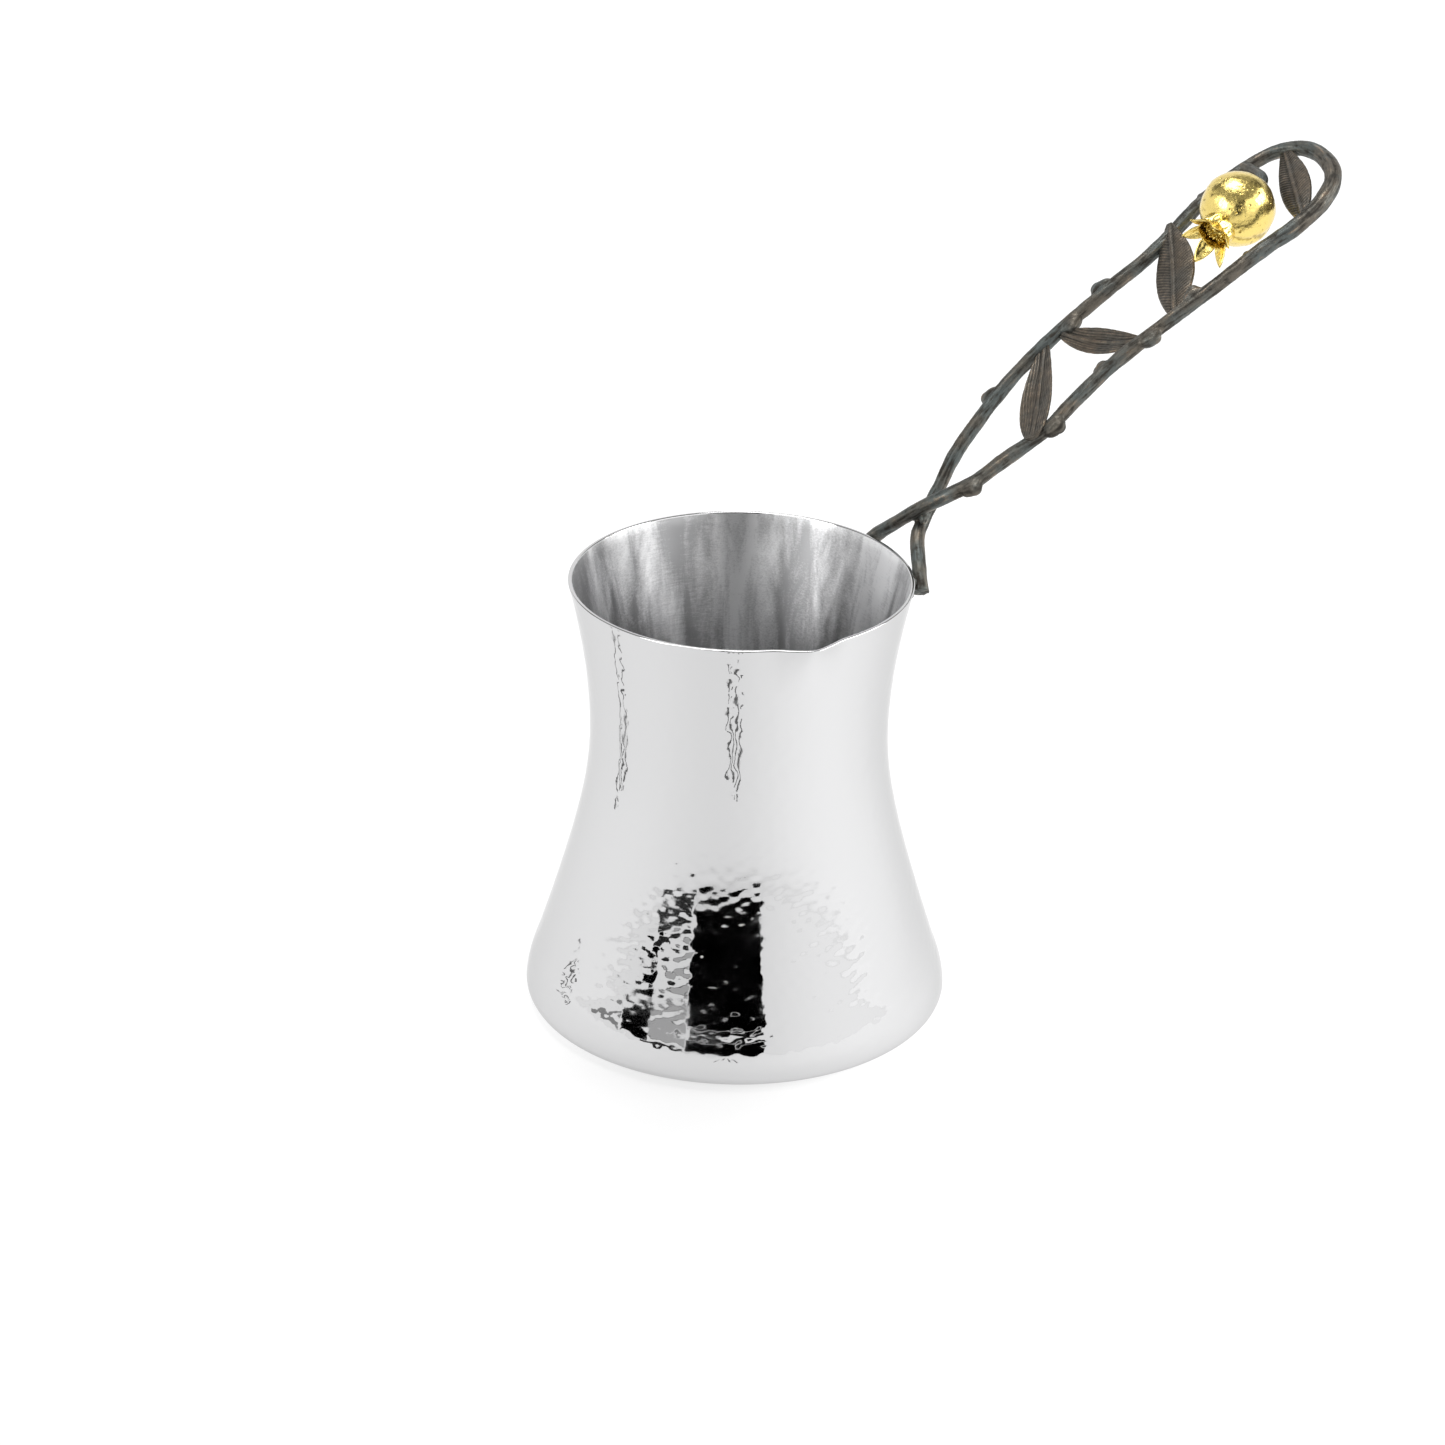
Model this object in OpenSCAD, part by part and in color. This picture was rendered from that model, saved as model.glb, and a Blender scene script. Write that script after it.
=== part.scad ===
// Long-handled coffee pot: a hammered steel pot with a small pouring lip,
// and a bronze twig handle that carries four leaves and a gilt fruit.
// Origin: centre of the underside. +X runs along the handle, -Y towards the lip.

/* [Pot] */
// Height from the table to the rim
pot_h = 97.5; // [80:0.5:120]
// Outer radius where the pot is widest, just above the base
base_r = 45.5; // [38:0.5:56]
// Radius of the rounded bottom corner
corner_r = 4.4; // [3:0.2:7]
// Outer radius of the waist
waist_r = 31.8; // [26:0.2:36]
// Height of the waist
waist_z = 63; // [50:1:75]
// Outer radius of the rim
rim_r = 36.5; // [31:0.5:45]
// Length over which the wall bends below the waist
lower_bend = 24; // [15:1:40]
// Length over which the wall bends above the waist
upper_bend = 40; // [20:1:60]
// Thickness of the steel
wall_t = 0.9; // [0.7:0.1:1.8]

/* [Pouring lip] */
// Direction of the lip, in degrees round the pot from the handle
lip_angle = -92; // [-100:1:-80]
// How far the lip stands out past the rim
lip_reach = 3; // [1.5:0.5:5]
// Angle of the rim that the lip takes up
lip_spread = 24; // [14:1:36]
// How far the lip runs down the wall
lip_drop = 14; // [8:1:22]

/* [Handle] */
// Distance from the rim to the far end of the twig loop
handle_reach = 101; // [80:1:130]
// Distance across the loop, between the middles of the twigs
handle_w = 29; // [23:0.5:36]
// Thickness of the twig
twig_d = 3; // [2.4:0.1:3.6]
// Height of the handle's middle over the rim, where it starts
handle_lift = 3.4; // [2:0.2:6]
// Slope of the handle at the rim, in degrees
handle_tilt = 43; // [30:1:50]
// How strongly the handle arches over, per millimetre
handle_droop = 0.0023; // [0:0.0001:0.004]
// Angle of each foot from the handle's middle, round the pot
foot_angle = 20; // [16:1:24]
// How far below the rim each foot ends
foot_drop = 4; // [3:0.5:8]
// Gap between the twig and the wall, filled by the braze
foot_gap = 0.4; // [0.2:0.1:0.8]
// How much thicker the twig is at the end of a foot, on the radius
foot_flare = 0.4; // [0:0.1:0.8]
// How much thicker the twig is round the far end of its loop, on the radius
bend_swell = 0.35; // [0:0.05:0.5]

/* [Leaves] */
// Thickness of a leaf
leaf_t = 1; // [0.7:0.1:1.4]
// Width of the first leaf, nearest the pot
leaf_1_w = 8; // [5:0.5:9]
// Width of the second leaf
leaf_2_w = 6.5; // [5:0.5:9]
// Width of the third leaf
leaf_3_w = 9; // [6:0.5:11]
// Width of the fourth leaf, at the loop's end
leaf_4_w = 7.5; // [5:0.5:9]

/* [Fruit] */
// Diameter of the fruit
fruit_d = 16.4; // [12:0.2:18]
// Diameter of the crown's neck
neck_d = 7.6; // [6:0.2:9]
// Diameter over the tips of the sepals
crown_d = 12.4; // [10:0.2:14]
// Number of sepals
sepals = 6; // [5:1:8]
// Diameter of the peg that holds the fruit
peg_d = 2; // [1.4:0.1:2.4]

/* [Hidden] */
$fn = 96;

steel = [0.80, 0.81, 0.82];
bronze = [0.24, 0.21, 0.18];
solder = [0.34, 0.29, 0.23];
gold = [0.86, 0.70, 0.26];

// ---------- pot outline ----------
corner_x = base_r - corner_r;
// Share of the full bend that a wall makes over the height u
function bend(u, length) = norm([u, length]) - length;
function bend_slope(u, length) = u / norm([u, length]);
lower_scale = (base_r - waist_r) / bend(waist_z - corner_r, lower_bend);
lean = atan(lower_scale * bend_slope(waist_z - corner_r, lower_bend));
corner_top_r = corner_x + corner_r * cos(lean);
corner_top_z = corner_r + corner_r * sin(lean);
lower_k = (corner_top_r - waist_r) / bend(waist_z - corner_top_z, lower_bend);
upper_k = (rim_r - waist_r) / bend(pot_h - waist_z, upper_bend);
function outer_r(z) = z < waist_z
    ? waist_r + lower_k * bend(waist_z - z, lower_bend)
    : waist_r + upper_k * bend(z - waist_z, upper_bend);
function wall_slope(z) = z < waist_z
    ? lower_k * bend_slope(waist_z - z, lower_bend)
    : upper_k * bend_slope(z - waist_z, upper_bend);
function inner_r(z) = outer_r(z) - wall_t * norm([1, wall_slope(z)]);
wall_steps = 24;
corner_steps = 6;
rim_trim = 2;
function wall_z(i) = corner_top_z + (pot_h - corner_top_z) * i / wall_steps;
function corner_arc(r) = [
    for (i = [0:corner_steps - 1])
        let (a = -90 + (90 + lean) * i / corner_steps)
        [corner_x + r * cos(a), corner_r + r * sin(a)]
];

// ---------- handle route ----------
twig_r = twig_d / 2;
handle_half = handle_w / 2;
function arch(out) = handle_lift + tan(handle_tilt) * out - handle_droop * out * out;
// A place on the handle: share of its reach, share of its half width, and height above its
// arch in twig thicknesses
function on_handle(reach_share, side_share, lift) =
    let (out = handle_reach * reach_share / 100)
    [rim_r + out, handle_half * side_share / 100, pot_h + arch(out) + lift * twig_d];
// A place on the wall's outside, with the twig, thicker by extra, lying against it
function on_wall(angle, drop, extra) =
    let (r = outer_r(pot_h - drop) + twig_r + extra + foot_gap)
    [r * cos(angle), r * sin(angle), pot_h - drop];
function all_on_handle(route) = [for (p = route) on_handle(p[0], p[1], p[2])];
// Near twig, from the crossing out to the loop's end
near_route = [
    [2.6, 28, -0.2], [5.7, -8, 0.45], [9, -37, 0.65], [14, -52, 0.2], [20, -62, 0], [28, -83, 0],
    [35, -79, 0], [44, -77, 0], [52, -84, 0], [60, -91, 0], [68, -95, 0], [76, -95, 0],
    [84, -98, 0], [90, -88, 0], [95, -65, 0], [98.5, -26, 0]
];
// Far twig, from the loop's end back to the crossing
far_route = [
    [100, 28, 0], [99, 70, 0], [95, 100, 0], [89, 109, 0], [83, 107, 0], [77, 100, 0],
    [70, 84, 0], [63, 74, 0], [54, 76, 0], [46, 78, 0], [38, 77, 0], [30, 71, 0],
    [22, 54, 0], [16, 40, -0.15], [12, 27, -0.65], [9, 17, -1.05], [6, 4, -1.25], [3.2, -20, -1]
];
twig_points = concat(
    [on_wall(foot_angle, foot_drop, foot_flare), on_wall(foot_angle - 4, 0.5, 0)],
    all_on_handle(near_route),
    all_on_handle(far_route),
    [on_wall(5 - foot_angle, 1, 0), on_wall(-foot_angle, foot_drop, foot_flare)]
);
near_start = 2;
far_start = near_start + len(near_route);
last_point = len(twig_points) - 1;

// ---------- sweeps ----------
twig_steps = 3;
twig_sides = 10;
function unit(v) = v / norm(v);
function clamp_index(i, n) = max(0, min(n - 1, i));
function curve_point(p, i, t) =
    let (a = p[clamp_index(i - 1, len(p))], b = p[i])
    let (c = p[clamp_index(i + 1, len(p))], d = p[clamp_index(i + 2, len(p))])
    (2 * b + (c - a) * t + (2 * a - 5 * b + 4 * c - d) * t * t
        + (3 * b - a - 3 * c + d) * t * t * t) / 2;
function curve(p, steps) = concat(
    [for (i = [0:len(p) - 2]) for (k = [0:steps - 1]) curve_point(p, i, k / steps)],
    [p[len(p) - 1]]
);
function direction(p, i) = unit(p[clamp_index(i + 1, len(p))] - p[clamp_index(i - 1, len(p))]);
twig_up = [-sin(handle_tilt), 0, cos(handle_tilt)];
function ring(centre, along, r) =
    let (side = unit(cross(along, twig_up)))
    let (up = cross(side, along))
    [for (k = [0:twig_sides - 1])
        let (a = 360 * k / twig_sides)
        centre + r * cos(a) * side + r * sin(a) * up];
// Closed bar through rings of twig_sides corners each
module bar(rings) {
    n = len(rings);
    first_end = [for (k = [twig_sides - 1:-1:0]) k];
    last_end = [for (k = [0:twig_sides - 1]) (n - 1) * twig_sides + k];
    sides = [
        for (i = [0:n - 2]) for (k = [0:twig_sides - 1])
            let (a = i * twig_sides + k, b = i * twig_sides + (k + 1) % twig_sides)
            [a, b, b + twig_sides, a + twig_sides]
    ];
    polyhedron(points = [for (r = rings) each r], faces = concat([first_end, last_end], sides));
}
function rings_along(p, r, first, last) = [
    for (i = [first:last]) ring(p[i], direction(p, i), is_list(r) ? r[i] : r)
];
twig_curve = curve(twig_points, twig_steps);
// The twig is round. It flares over the last route step at each foot, and is thickest at
// swell_middle, which counts in route points like swell_reach.
swell_middle = far_start - 2.2;
swell_reach = 4;
twig_radii = [
    for (i = [0:len(twig_curve) - 1])
        let (from_end = min(i, len(twig_curve) - 1 - i) / twig_steps)
        let (from_swell = (i / twig_steps - swell_middle) / swell_reach)
        twig_r + foot_flare * max(0, 1 - from_end)
            + bend_swell * max(0, 1 - from_swell * from_swell)
];
// Place on the twig's middle line, counted in route points
function twig_at(place) = curve_point(twig_points, floor(place), place - floor(place));
// The same twig between two of its route points, one step longer at each end
module twig_stretch(first, last) {
    low = max(0, first * twig_steps - 1);
    high = min(len(twig_curve) - 1, last * twig_steps + 1);
    bar(rings_along(twig_curve, twig_radii, low, high));
}

// ---------- pot ----------
function wall_outside() = [for (i = [0:wall_steps]) [outer_r(wall_z(i)), wall_z(i)]];
function wall_inside() = [for (i = [wall_steps:-1:0]) [inner_r(wall_z(i)), wall_z(i)]];
function reversed(list) = [for (i = [len(list) - 1:-1:0]) list[i]];
// The pot's whole outside as one solid, which the brazes are cut to
module pot_outside() {
    rotate_extrude($fn = 240)
        polygon(concat([[0, 0]], corner_arc(corner_r), wall_outside(), [[0, pot_h]]));
}
// The wall, standing above the rim by rim_trim, which is cut off once the lip is on
module pot_shell() {
    rotate_extrude()
        polygon(concat(
            corner_arc(corner_r),
            wall_outside(),
            [[rim_r, pot_h + rim_trim], [inner_r(pot_h), pot_h + rim_trim]],
            wall_inside(),
            reversed(corner_arc(corner_r - wall_t))
        ));
}
// Wedge from a point on the wall up to over past the rim. Level with the rim it stands out at the
// middle of the lip by reach, and goes back by depth.
module lip_wedge(rim, foot, reach, depth, over) {
    chord = rim * cos(lip_spread / 2);
    half = rim * sin(lip_spread / 2);
    point_size = 0.1;
    below_rim = 0.3;
    rotate([0, 0, lip_angle])
        hull() {
            translate([0, 0, pot_h - below_rim])
                linear_extrude(below_rim + over)
                polygon([[chord - depth, 0], [chord, half], [rim + reach, 0], [chord, -half]]);
            translate([foot - depth, 0, pot_h - lip_drop])
                cube(point_size, center = true);
            translate([foot, 0, pot_h - lip_drop])
                cube(point_size, center = true);
        }
}
module lip_outside() {
    buried = wall_t / 4;
    foot = outer_r(pot_h - lip_drop) - buried;
    lip_wedge(rim_r - buried, foot, lip_reach + buried, 0, rim_trim / 2);
}
module lip_inside() {
    depth = 3 * wall_t;
    foot = inner_r(pot_h - lip_drop) - 0.1;
    lip_wedge(inner_r(pot_h), foot, lip_reach, depth, rim_trim * 1.5);
}
module pot_wall() {
    color(steel)
        difference() {
            union() {
                pot_shell();
                lip_outside();
            }
            lip_inside();
            translate([0, 0, pot_h])
                cylinder(r = base_r + lip_reach, h = rim_trim * 2);
        }
}
module pot_base() {
    color(steel)
        cylinder(r = corner_x, h = wall_t);
}

// ---------- handle ----------
module handle_twig() {
    color(bronze)
        bar(rings_along(twig_curve, twig_radii, 0, len(twig_curve) - 1));
}
braze_r = twig_r + 0.7;
module foot_braze(angle, first, last) {
    seat_r = outer_r(pot_h - foot_drop) + foot_gap;
    color(solder)
        difference() {
            rotate([0, 0, angle])
                translate([seat_r, 0, pot_h - foot_drop + 0.6])
                sphere(r = braze_r, $fn = 32);
            pot_outside();
            twig_stretch(first, last);
        }
}
module braze_near() { foot_braze(foot_angle - 1, 0, 2); }
module braze_far() { foot_braze(1 - foot_angle, last_point - 2, last_point); }

cross_near = near_start + 1;
cross_far = last_point - 3;
module braze_crossing() {
    middle = (twig_points[cross_near] + twig_points[cross_far]) / 2;
    color(solder)
        difference() {
            translate(middle)
                sphere(r = twig_r + 0.1, $fn = 32);
            twig_stretch(cross_near - 2, cross_near + 2);
            twig_stretch(cross_far - 2, cross_far + 2);
        }
}

// ---------- leaves ----------
leaf_rows = 12;
leaf_columns = 6;
leaf_stem = 1.5;
// Half the width of a leaf at the share u of its length
function leaf_half(u, width) = leaf_stem / 2 + (width - leaf_stem) / 2 * pow(sin(180 * u), 0.9);
function leaf_line(a, b, bulge, u) =
    (1 - u) * a + u * b + 4 * u * (1 - u) * bulge;
// Point of a leaf: v runs across it from -1 to 1, face is 1 above and -1 below
function leaf_point(a, b, bulge, width, cup, u, v, face) =
    let (along = unit(leaf_line(a, b, bulge, u + 0.01) - leaf_line(a, b, bulge, u - 0.01)))
    let (side = unit(cross(twig_up, along)))
    let (up = cross(along, side))
    leaf_line(a, b, bulge, u) + v * leaf_half(u, width) * side
        + (cup * v * v * sin(180 * u) + face * leaf_t / 2) * up;
module leaf(a, b, bulge, width, cup) {
    across = leaf_columns + 1;
    layer = (leaf_rows + 1) * across;
    corners = [
        for (face = [1, -1]) for (i = [0:leaf_rows]) for (j = [0:leaf_columns])
            leaf_point(a, b, bulge, width, cup, i / leaf_rows, 2 * j / leaf_columns - 1, face)
    ];
    top = [
        for (i = [0:leaf_rows - 1]) for (j = [0:leaf_columns - 1])
            let (k = i * across + j)
            [k, k + 1, k + across + 1, k + across]
    ];
    bottom = [for (f = top) [for (m = [3:-1:0]) f[m] + layer]];
    left = [
        for (i = [0:leaf_rows - 1])
            let (k = i * across)
            [k, k + across, k + across + layer, k + layer]
    ];
    right = [
        for (i = [0:leaf_rows - 1])
            let (k = i * across + leaf_columns)
            [k, k + layer, k + across + layer, k + across]
    ];
    start = [for (j = [0:leaf_columns - 1]) [j, j + layer, j + 1 + layer, j + 1]];
    k_end = leaf_rows * across;
    finish = [
        for (j = [0:leaf_columns - 1])
            [k_end + j, k_end + j + 1, k_end + j + 1 + layer, k_end + j + layer]
    ];
    polyhedron(points = corners, faces = concat(top, bottom, left, right, start, finish));
}
// Leaf from a place on the far twig to a place on the near twig, counted in route points
module seated_leaf(far, near, bulge, width, cup) {
    color(bronze)
        difference() {
            leaf(twig_at(far), twig_at(near), bulge, width, cup);
            twig_stretch(floor(far) - 1, floor(far) + 2);
            twig_stretch(floor(near) - 1, floor(near) + 2);
        }
}
module leaf_1() { seated_leaf(far_start + 9.8, near_start + 4.75, [0, 0, 0], leaf_1_w, 1.2); }
module leaf_2() { seated_leaf(far_start + 9.4, near_start + 7.75, [0, 0, -1.6], leaf_2_w, 0.8); }
module leaf_3() { seated_leaf(far_start + 6, near_start + 8.6, [0, 0, 0], leaf_3_w, -0.8); }
module leaf_4() { seated_leaf(far_start + 1.6, near_start + 12.3, [0, 0, 0], leaf_4_w, -0.6); }

// ---------- fruit ----------
fruit_r = fruit_d / 2;
fruit_centre = on_handle(78.5, 3, 1);
fruit_yaw = 206.7;
fruit_tilt = 109.3;
fruit_axis = [sin(fruit_tilt) * cos(fruit_yaw), sin(fruit_tilt) * sin(fruit_yaw), cos(fruit_tilt)];
peg_len = 4;
peg_gap = 0.05;
stem_r = 1.6;
neck_seat = sqrt(fruit_r * fruit_r - neck_d * neck_d / 4);
stem_seat = sqrt(fruit_r * fruit_r - pow(stem_r + 0.2, 2));
module at_fruit() {
    translate(fruit_centre)
        rotate([0, fruit_tilt, fruit_yaw])
        children();
}
module fruit_body() {
    color(gold)
        at_fruit()
        difference() {
            sphere(r = fruit_r, $fn = 64);
            translate([0, 0, neck_seat])
                cylinder(r = neck_d, h = fruit_r);
            translate([0, 0, -stem_seat - fruit_r])
                cylinder(r = stem_r * 2, h = fruit_r);
            translate([0, 0, -stem_seat - 1])
                cylinder(d = peg_d + 2 * peg_gap, h = peg_len + peg_gap + 1);
        }
}
// Twig point that the fruit hangs from
fruit_twig = far_start + 3;
module fruit_stem() {
    seat = fruit_centre - stem_seat * fruit_axis;
    bend_point = seat - 3 * fruit_axis + [0, 1.5, 0];
    route = curve([seat, bend_point, twig_points[fruit_twig]], 4);
    color(bronze)
        difference() {
            union() {
                bar(rings_along(route, stem_r, 0, len(route) - 1));
                at_fruit()
                    translate([0, 0, -stem_seat - 0.5])
                    cylinder(d = peg_d, h = peg_len + 0.5);
            }
            twig_stretch(fruit_twig - 1, fruit_twig + 1);
        }
}
crown_t = 0.8;
crown_h = 2.6;
sepal_len = 4.4;
sepal_lean = 32;
crown_r = crown_d / 2 - sepal_len * sin(sepal_lean);
module sepal() {
    half = crown_r * sin(180 / sepals);
    translate([crown_r - crown_t, 0, neck_seat + crown_h - 0.4])
        rotate([0, sepal_lean - 90, 0])
        rotate([180, 0, 0])
        translate([0, 0, -crown_t])
        linear_extrude(crown_t)
        polygon([[0, -half], [sepal_len * 0.45, -half * 0.8], [sepal_len, 0],
            [sepal_len * 0.45, half * 0.8], [0, half]]);
}
module fruit_crown() {
    color(gold)
        at_fruit() {
            rotate_extrude()
                polygon([
                    [neck_d / 2 - crown_t, neck_seat],
                    [neck_d / 2, neck_seat],
                    [crown_r, neck_seat + crown_h],
                    [crown_r - crown_t, neck_seat + crown_h]
                ]);
            for (i = [0:sepals - 1])
                rotate([0, 0, 360 * i / sepals])
                sepal();
        }
}
stamen_r = 0.5;
stamen_h = 2.6;
module fruit_stamens() {
    ring_r = (neck_d / 2 - crown_t) * 0.6;
    color(gold)
        at_fruit()
        translate([0, 0, neck_seat])
        union() {
            cylinder(r = stamen_r, h = stamen_h, $fn = 16);
            for (i = [0:5])
                rotate([0, 0, 60 * i])
                translate([ring_r, 0, 0])
                cylinder(r = stamen_r, h = stamen_h, $fn = 16);
        }
}

pot_wall();
pot_base();
handle_twig();
braze_near();
braze_far();
braze_crossing();
leaf_1();
leaf_2();
leaf_3();
leaf_4();
fruit_stem();
fruit_body();
fruit_crown();
fruit_stamens();
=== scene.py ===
"""A hammered steel coffee pot with a bronze twig handle, four leaves and a gilt fruit.

Row frame: +Z up, +X along the handle, -Y towards the pouring lip. Shapes are worked out in
millimetres, and turned into metres when a mesh is made.
"""

import math

import bmesh
import bpy
import numpy as np
from mathutils import Matrix, Vector, noise


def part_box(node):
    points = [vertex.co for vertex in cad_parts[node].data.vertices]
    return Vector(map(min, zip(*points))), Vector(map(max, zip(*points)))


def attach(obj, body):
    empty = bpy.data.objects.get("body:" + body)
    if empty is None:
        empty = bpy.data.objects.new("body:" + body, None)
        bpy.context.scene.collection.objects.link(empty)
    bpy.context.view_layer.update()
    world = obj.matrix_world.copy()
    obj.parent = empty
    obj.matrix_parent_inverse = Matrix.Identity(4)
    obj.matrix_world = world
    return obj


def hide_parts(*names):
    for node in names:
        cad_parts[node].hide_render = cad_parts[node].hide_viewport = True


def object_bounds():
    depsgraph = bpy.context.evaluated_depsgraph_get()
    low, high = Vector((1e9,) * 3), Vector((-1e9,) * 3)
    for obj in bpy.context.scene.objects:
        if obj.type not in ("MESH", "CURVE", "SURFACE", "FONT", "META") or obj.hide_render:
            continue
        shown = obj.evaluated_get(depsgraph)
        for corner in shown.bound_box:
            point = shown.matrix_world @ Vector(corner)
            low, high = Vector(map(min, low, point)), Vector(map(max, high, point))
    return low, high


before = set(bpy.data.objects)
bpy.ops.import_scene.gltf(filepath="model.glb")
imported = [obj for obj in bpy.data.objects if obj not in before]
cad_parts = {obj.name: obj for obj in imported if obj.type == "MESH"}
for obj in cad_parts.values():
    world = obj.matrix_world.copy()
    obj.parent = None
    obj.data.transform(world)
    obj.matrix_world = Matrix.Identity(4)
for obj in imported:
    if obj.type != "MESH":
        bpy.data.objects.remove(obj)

cad_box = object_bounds()
MM = 0.001
SEED = 11


def box_mm(node):
    """Lowest and highest corner of a CAD node, in millimetres."""
    low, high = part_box(node)
    return np.array(low) / MM, np.array(high) / MM


# ---------- camera ----------
HANDLE_TURN = math.radians(25.5)  # from the view's right, round to the handle
CAMERA_BACK, CAMERA_UP = 0.9591, 0.5231
CAMERA_DOWN = math.radians(25.58)
CAMERA_YAW = math.radians(-0.21)
CAMERA_ROLL = math.radians(0.92)
CAMERA_LENS = 124.57


def view_to_row(x, y, z):
    """A place given as right of, beyond and above the pot in the camera's view, in the row frame."""
    c, s = math.cos(HANDLE_TURN), math.sin(HANDLE_TURN)
    return Vector((c * x + s * y, -s * x + c * y, z))


def make_camera():
    data = bpy.data.cameras.new("camera")
    data.lens = CAMERA_LENS
    data.sensor_width = 36
    data.clip_start, data.clip_end = 0.05, 50
    camera = bpy.data.objects.new("camera", data)
    bpy.context.scene.collection.objects.link(camera)
    forward = view_to_row(
        math.sin(CAMERA_YAW) * math.cos(CAMERA_DOWN),
        math.cos(CAMERA_YAW) * math.cos(CAMERA_DOWN),
        -math.sin(CAMERA_DOWN),
    )
    right = view_to_row(math.cos(CAMERA_YAW), -math.sin(CAMERA_YAW), 0)
    up = right.cross(forward)
    turn = Matrix((right, up, -forward)).transposed().to_4x4()
    place = Matrix.Translation(view_to_row(0, -CAMERA_BACK, CAMERA_UP))
    camera.matrix_world = place @ turn @ Matrix.Rotation(CAMERA_ROLL, 4, "Z")
    bpy.context.scene.camera = camera


make_camera()


# ---------- materials ----------
class Nodes:
    """Short forms for building a material's node tree."""

    def __init__(self, owner):
        self.owner = owner
        owner.use_nodes = True
        self.tree = owner.node_tree
        self.shader = self.tree.nodes.get("Principled BSDF")

    def add(self, kind, inputs=None, **settings):
        node = self.tree.nodes.new(kind)
        for key, value in settings.items():
            setattr(node, key, value)
        for key, value in (inputs or {}).items():
            self.put(node.inputs[key], value)
        return node

    def put(self, socket, value):
        if isinstance(value, bpy.types.NodeSocket):
            self.tree.links.new(value, socket)
        elif isinstance(value, bpy.types.Node):
            self.tree.links.new(value.outputs[0], socket)
        else:
            socket.default_value = value

    def set(self, **values):
        for key, value in values.items():
            self.put(self.shader.inputs[key.replace("_", " ")], value)

    def math(self, operation, a, b=0.0, clamp=False):
        node = self.add("ShaderNodeMath", operation=operation, use_clamp=clamp)
        self.put(node.inputs[0], a)
        self.put(node.inputs[1], b)
        return node.outputs[0]

    def mix(self, share, a, b):
        node = self.add("ShaderNodeMix", data_type="RGBA")
        self.put(node.inputs["Factor"], share)
        self.put(node.inputs[6], a)
        self.put(node.inputs[7], b)
        return node.outputs[2]

    def ramp(self, value, low, high, to_low=0.0, to_high=1.0):
        node = self.add("ShaderNodeMapRange", interpolation_type="SMOOTHSTEP")
        self.put(node.inputs["Value"], value)
        node.inputs["From Min"].default_value = low
        node.inputs["From Max"].default_value = high
        node.inputs["To Min"].default_value = to_low
        node.inputs["To Max"].default_value = to_high
        return node.outputs[0]

    def place(self, scale=(1, 1, 1), turn=(0, 0, 0)):
        """The point on the object, in metres, stretched by scale."""
        where = self.add("ShaderNodeTexCoord").outputs["Object"]
        node = self.add("ShaderNodeMapping", {"Vector": where, "Scale": scale, "Rotation": turn})
        return node.outputs[0]

    def noise(self, place, scale, detail=3.0, rough=0.55, twist=0.0):
        node = self.add(
            "ShaderNodeTexNoise",
            {
                "Vector": place,
                "Scale": scale,
                "Detail": detail,
                "Roughness": rough,
                "Distortion": twist,
            },
        )
        return node.outputs["Fac"]

    def attribute(self, name):
        return self.add("ShaderNodeAttribute", attribute_name=name).outputs["Fac"]

    def bump(self, height, distance, strength=1.0, under=None):
        node = self.add("ShaderNodeBump", {"Height": height, "Distance": distance})
        node.inputs["Strength"].default_value = strength
        if under is not None:
            self.put(node.inputs["Normal"], under)
        return node.outputs[0]


def polished_steel():
    """Mirror-polished hammered steel: small ripples between the hammer marks and a few hairlines."""
    n = Nodes(bpy.data.materials.new("polished_steel"))
    ripple = n.noise(n.place(), 420, 2)
    fine = n.noise(n.place((1, 1, 0.35)), 2600, 2)
    haze = n.noise(n.place(), 90, 4)
    n.set(Metallic=1.0, Base_Color=(0.655, 0.655, 0.66, 1), Specular_Tint=(0.8, 0.8, 0.8, 1))
    n.set(Roughness=n.ramp(haze, 0.35, 0.75, 0.03, 0.075))
    low = n.bump(ripple, 0.000012)
    n.set(Normal=n.bump(fine, 0.0000006, under=low))
    return n.owner


def brushed_steel():
    """Satin steel inside the pot: soft upright banding in its colour, partly mottling and partly painted
    reflection, with fine scratches that cross.
    """
    n = Nodes(bpy.data.materials.new("brushed_steel"))
    mottle_and_reflection_noise = n.noise(n.place((1, 1, 0.10)), 62, 3, 0.5, 0.3)
    smears = n.noise(n.place((1, 1, 0.16)), 230, 4, 0.65, 0.6)
    rings = n.noise(n.place((1, 1, 30)), 160, 5, 0.7)
    cross = n.noise(n.place((1, 14, 14), (0.7, 0.5, 0.3)), 230, 4, 0.7)
    counter = n.noise(n.place((14, 1, 14), (-0.6, 0.4, 0.2)), 230, 4, 0.7)
    # The upright banding lightens and darkens the base colour: partly mottling of the steel, partly
    # painted reflection of the bright and dark surroundings.
    mottle_and_reflection_banding = n.ramp(mottle_and_reflection_noise, 0.40, 0.62)
    fine = n.math("MULTIPLY", n.math("SUBTRACT", smears, 0.5), 2.0)
    scratch = n.math("MULTIPLY", n.math("SUBTRACT", n.math("ADD", cross, counter), 1.0), 0.9)
    share = n.math("ADD", n.math("ADD", mottle_and_reflection_banding, fine), scratch, clamp=True)
    tone = n.mix(share, (0.38, 0.38, 0.385, 1), (0.90, 0.90, 0.905, 1))
    n.set(
        Metallic=1.0,
        Base_Color=tone,
        Roughness=n.ramp(smears, 0.3, 0.7, 0.30, 0.42),
        Anisotropic=0.7,
        Anisotropic_Rotation=0.25,
        Tangent=n.add("ShaderNodeTangent", direction_type="RADIAL", axis="Z"),
    )
    ringed = n.bump(rings, 0.000006, 0.5)
    crossed = n.bump(cross, 0.000012, 0.6, ringed)
    n.set(Normal=n.bump(counter, 0.000012, 0.6, crossed))
    return n.owner


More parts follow.
